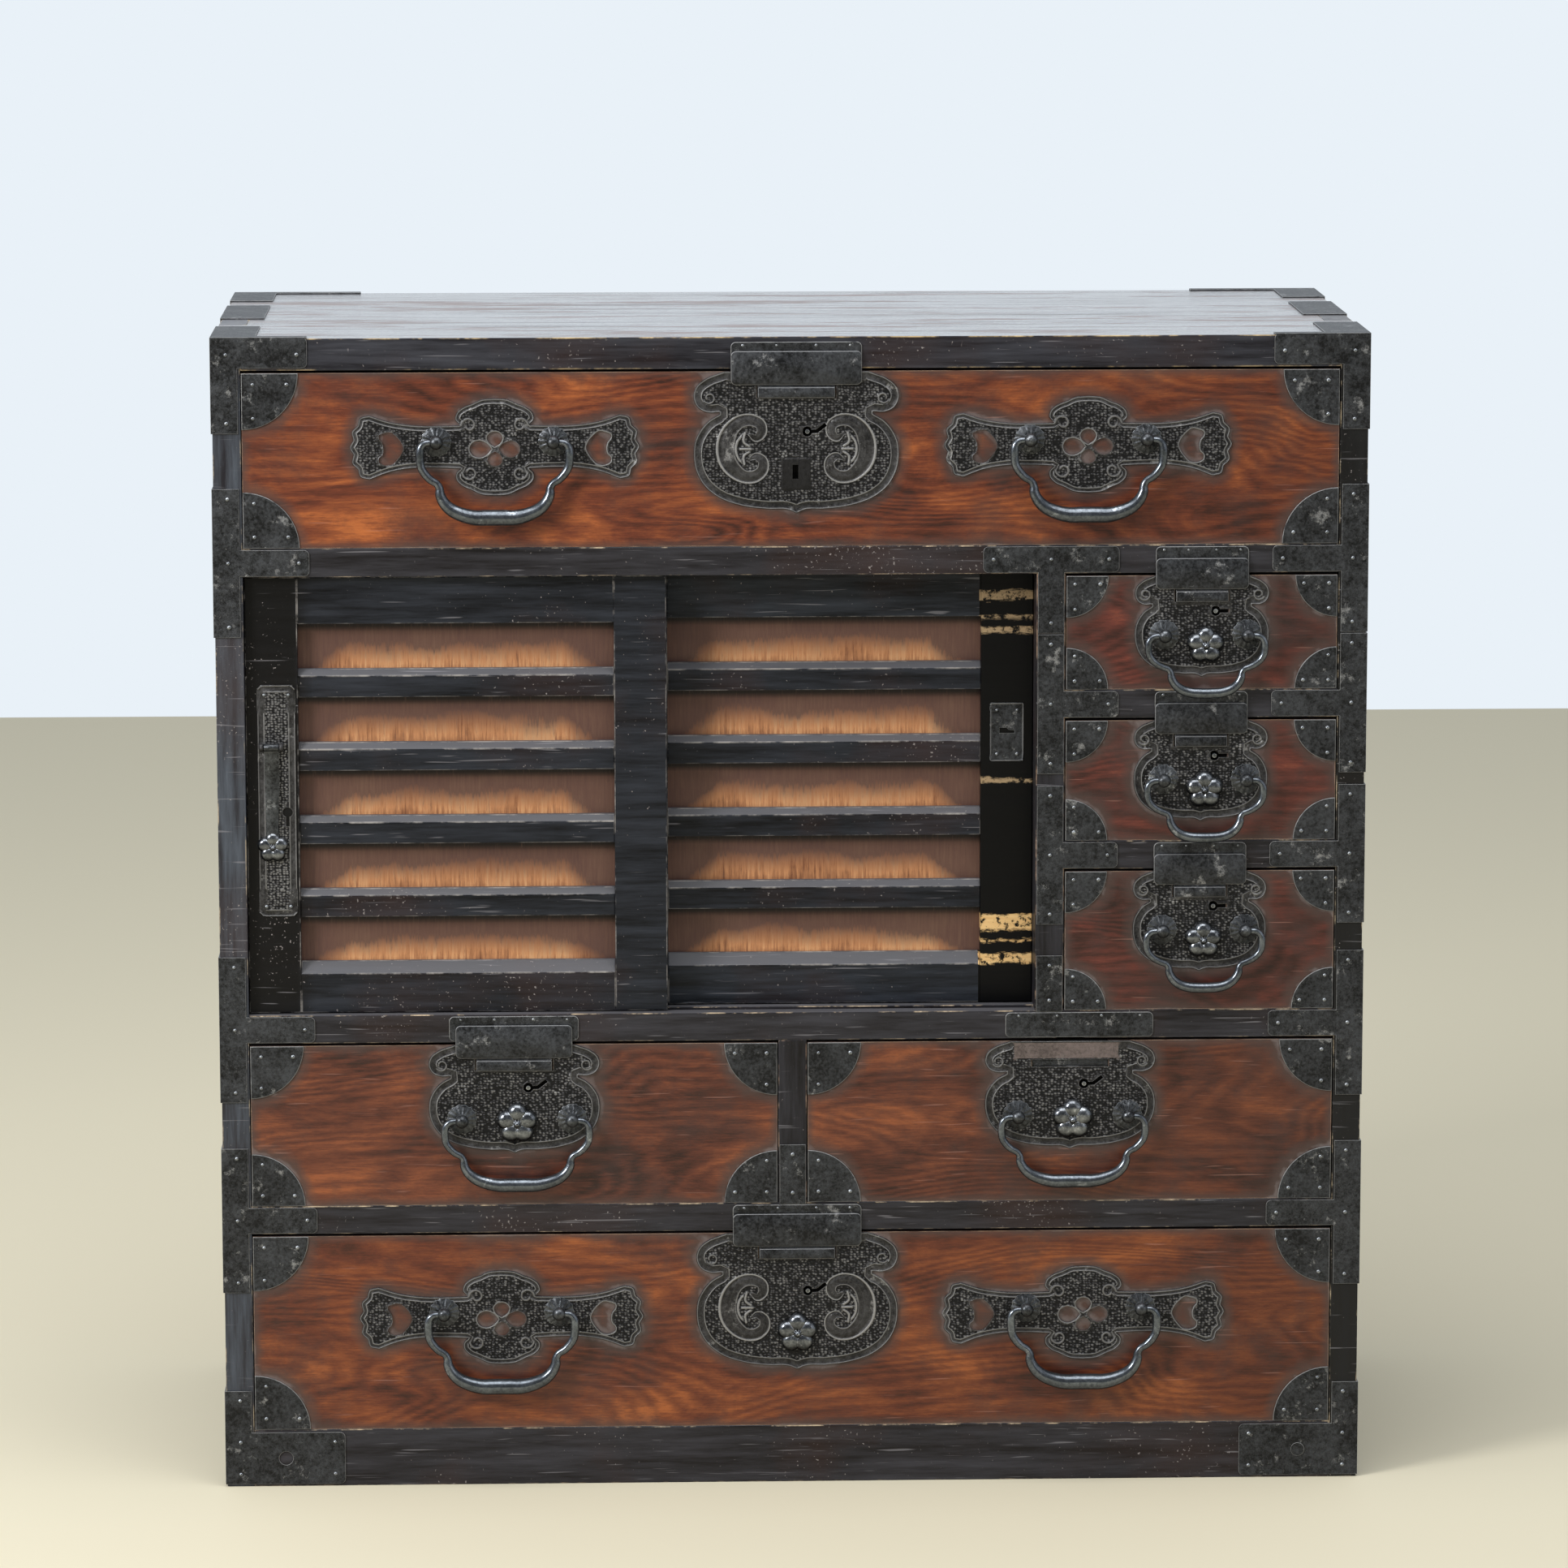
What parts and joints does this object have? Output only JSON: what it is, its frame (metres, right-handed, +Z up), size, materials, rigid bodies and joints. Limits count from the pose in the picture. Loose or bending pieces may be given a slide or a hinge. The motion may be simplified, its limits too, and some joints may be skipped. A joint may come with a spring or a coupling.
{
  "type": "clothing chest",
  "caption": "Low wooden clothing chest with iron straps, lockable drawers with drop pulls, and a compartment behind two slatted sliding doors.",
  "frame": {"origin": "on the floor, under the middle of the overall width and depth", "axes": "+Z up, +X to the right as seen from the front, the front faces -Y"},
  "size_m": [0.9024, 0.423, 0.9162],
  "materials": {
    "frame_lacquer": "worn near-black lacquer on softwood",
    "top_lacquer": "worn glossy dark lacquer with fine streaks",
    "drawer_lacquer": "transparent orange-red lacquer over flowing grain",
    "dark_drawer_lacquer": "darker red-brown lacquer, scratched",
    "door_lacquer": "light orange-brown lacquer with fine vertical streaks",
    "raw_wood": "bare planed softwood",
    "dark_iron": "hammered and punched black iron",
    "pull_steel": "forged pulls polished by handling"
  },
  "bodies": {
    "cabinet": {"left_side_panel": "frame_lacquer", "right_side_panel": "frame_lacquer", "top_board": "top_lacquer", "bottom_board": "raw_wood", "base_rails": "frame_lacquer", "back_panel": "raw_wood", "upper_shelf": "frame_lacquer", "middle_shelf": "frame_lacquer", "lower_shelf": "frame_lacquer", "drawer_partition": "frame_lacquer", "small_drawer_shelves": "frame_lacquer", "half_drawer_partition": "frame_lacquer", "frame_irons": "dark_iron", "strike_plates": "dark_iron"},
    "left_door": {"left_door_frame": "frame_lacquer", "left_door_slats": "frame_lacquer", "left_door_panel": "door_lacquer", "left_door_lock_plate": "dark_iron"},
    "left_door_hasp": {"left_door_hasp": "dark_iron"},
    "right_door": {"right_door_frame": "frame_lacquer", "right_door_slats": "frame_lacquer", "right_door_panel": "door_lacquer", "right_door_key_plate": "dark_iron"},
    "top_drawer": {"top_drawer_front": "drawer_lacquer", "top_drawer_box": "raw_wood", "top_drawer_irons": "dark_iron"},
    "top_drawer_left_bail": {"top_drawer_left_bail": "pull_steel"},
    "top_drawer_right_bail": {"top_drawer_right_bail": "pull_steel"},
    "top_drawer_lock_bolt": {"top_drawer_lock_bolt": "dark_iron"},
    "small_drawer_1": {"small_drawer_1_front": "dark_drawer_lacquer", "small_drawer_1_box": "raw_wood", "small_drawer_1_irons": "dark_iron"},
    "small_drawer_1_bail": {"small_drawer_1_bail": "pull_steel"},
    "small_drawer_1_lock_bolt": {"small_drawer_1_lock_bolt": "dark_iron"},
    "small_drawer_2": {"small_drawer_2_front": "dark_drawer_lacquer", "small_drawer_2_box": "raw_wood", "small_drawer_2_irons": "dark_iron"},
    "small_drawer_2_bail": {"small_drawer_2_bail": "pull_steel"},
    "small_drawer_2_lock_bolt": {"small_drawer_2_lock_bolt": "dark_iron"},
    "small_drawer_3": {"small_drawer_3_front": "dark_drawer_lacquer", "small_drawer_3_box": "raw_wood", "small_drawer_3_irons": "dark_iron"},
    "small_drawer_3_bail": {"small_drawer_3_bail": "pull_steel"},
    "small_drawer_3_lock_bolt": {"small_drawer_3_lock_bolt": "dark_iron"},
    "left_half_drawer": {"left_half_drawer_front": "dark_drawer_lacquer", "left_half_drawer_box": "raw_wood", "left_half_drawer_irons": "dark_iron"},
    "left_half_drawer_bail": {"left_half_drawer_bail": "pull_steel"},
    "left_half_drawer_lock_bolt": {"left_half_drawer_lock_bolt": "dark_iron"},
    "right_half_drawer": {"right_half_drawer_front": "dark_drawer_lacquer", "right_half_drawer_box": "raw_wood", "right_half_drawer_irons": "dark_iron"},
    "right_half_drawer_bail": {"right_half_drawer_bail": "pull_steel"},
    "right_half_drawer_lock_bolt": {"right_half_drawer_lock_bolt": "dark_iron"},
    "bottom_drawer": {"bottom_drawer_front": "drawer_lacquer", "bottom_drawer_box": "raw_wood", "bottom_drawer_irons": "dark_iron"},
    "bottom_drawer_left_bail": {"bottom_drawer_left_bail": "pull_steel"},
    "bottom_drawer_right_bail": {"bottom_drawer_right_bail": "pull_steel"},
    "bottom_drawer_lock_bolt": {"bottom_drawer_lock_bolt": "dark_iron"}
  },
  "joints": [
    {"name": "left_door_slide", "type": "slide", "parent": "cabinet", "child": "left_door", "axis": [1, 0, 0], "range_m": [0, 0.28935]},
    {"name": "right_door_slide", "type": "slide", "parent": "cabinet", "child": "right_door", "axis": [-1, 0, 0], "range_m": [0, 0.28935]},
    {"name": "left_door_hasp_hinge", "type": "hinge", "parent": "left_door", "child": "left_door_hasp", "pos_m": [-0.4076, -0.19175, 0.594], "axis": [-1, 0, 0], "range_deg": [0, 150]},
    {"name": "top_drawer_slide", "type": "slide", "parent": "cabinet", "child": "top_drawer", "axis": [0, -1, 0], "range_m": [0, 0.29]},
    {"name": "top_drawer_left_bail_hinge", "type": "hinge", "parent": "top_drawer", "child": "top_drawer_left_bail", "pos_m": [-0.231, -0.20515, 0.8344], "axis": [-1, 0, 0], "range_deg": [0, 160]},
    {"name": "top_drawer_right_bail_hinge", "type": "hinge", "parent": "top_drawer", "child": "top_drawer_right_bail", "pos_m": [0.231, -0.20515, 0.8344], "axis": [-1, 0, 0], "range_deg": [0, 160]},
    {"name": "top_drawer_lock_bolt_slide", "type": "slide", "parent": "top_drawer", "child": "top_drawer_lock_bolt", "axis": [0, 0, 1], "range_m": [0, 0.008]},
    {"name": "small_drawer_1_slide", "type": "slide", "parent": "cabinet", "child": "small_drawer_1", "axis": [0, -1, 0], "range_m": [0, 0.29]},
    {"name": "small_drawer_1_bail_hinge", "type": "hinge", "parent": "small_drawer_1", "child": "small_drawer_1_bail", "pos_m": [0.324, -0.20515, 0.68], "axis": [-1, 0, 0], "range_deg": [0, 160]},
    {"name": "small_drawer_1_lock_bolt_slide", "type": "slide", "parent": "small_drawer_1", "child": "small_drawer_1_lock_bolt", "axis": [0, 0, 1], "range_m": [0, 0.008]},
    {"name": "small_drawer_2_slide", "type": "slide", "parent": "cabinet", "child": "small_drawer_2", "axis": [0, -1, 0], "range_m": [0, 0.29]},
    {"name": "small_drawer_2_bail_hinge", "type": "hinge", "parent": "small_drawer_2", "child": "small_drawer_2_bail", "pos_m": [0.324, -0.20515, 0.5655], "axis": [-1, 0, 0], "range_deg": [0, 160]},
    {"name": "small_drawer_2_lock_bolt_slide", "type": "slide", "parent": "small_drawer_2", "child": "small_drawer_2_lock_bolt", "axis": [0, 0, 1], "range_m": [0, 0.008]},
    {"name": "small_drawer_3_slide", "type": "slide", "parent": "cabinet", "child": "small_drawer_3", "axis": [0, -1, 0], "range_m": [0, 0.29]},
    {"name": "small_drawer_3_bail_hinge", "type": "hinge", "parent": "small_drawer_3", "child": "small_drawer_3_bail", "pos_m": [0.324, -0.20515, 0.4455], "axis": [-1, 0, 0], "range_deg": [0, 160]},
    {"name": "small_drawer_3_lock_bolt_slide", "type": "slide", "parent": "small_drawer_3", "child": "small_drawer_3_lock_bolt", "axis": [0, 0, 1], "range_m": [0, 0.008]},
    {"name": "left_half_drawer_slide", "type": "slide", "parent": "cabinet", "child": "left_half_drawer", "axis": [0, -1, 0], "range_m": [0, 0.29]},
    {"name": "left_half_drawer_bail_hinge", "type": "hinge", "parent": "left_half_drawer", "child": "left_half_drawer_bail", "pos_m": [-0.21763, -0.20515, 0.297], "axis": [-1, 0, 0], "range_deg": [0, 160]},
    {"name": "left_half_drawer_lock_bolt_slide", "type": "slide", "parent": "left_half_drawer", "child": "left_half_drawer_lock_bolt", "axis": [0, 0, 1], "range_m": [0, 0.008]},
    {"name": "right_half_drawer_slide", "type": "slide", "parent": "cabinet", "child": "right_half_drawer", "axis": [0, -1, 0], "range_m": [0, 0.29]},
    {"name": "right_half_drawer_bail_hinge", "type": "hinge", "parent": "right_half_drawer", "child": "right_half_drawer_bail", "pos_m": [0.22162, -0.20515, 0.297], "axis": [-1, 0, 0], "range_deg": [0, 160]},
    {"name": "right_half_drawer_lock_bolt_slide", "type": "slide", "parent": "right_half_drawer", "child": "right_half_drawer_lock_bolt", "axis": [0, 0, 1], "range_m": [0, 0.008]},
    {"name": "bottom_drawer_slide", "type": "slide", "parent": "cabinet", "child": "bottom_drawer", "axis": [0, -1, 0], "range_m": [0, 0.29]},
    {"name": "bottom_drawer_left_bail_hinge", "type": "hinge", "parent": "bottom_drawer", "child": "bottom_drawer_left_bail", "pos_m": [-0.231, -0.20515, 0.1409], "axis": [-1, 0, 0], "range_deg": [0, 160]},
    {"name": "bottom_drawer_right_bail_hinge", "type": "hinge", "parent": "bottom_drawer", "child": "bottom_drawer_right_bail", "pos_m": [0.231, -0.20515, 0.1409], "axis": [-1, 0, 0], "range_deg": [0, 160]},
    {"name": "bottom_drawer_lock_bolt_slide", "type": "slide", "parent": "bottom_drawer", "child": "bottom_drawer_lock_bolt", "axis": [0, 0, 1], "range_m": [0, 0.008]}
  ]
}
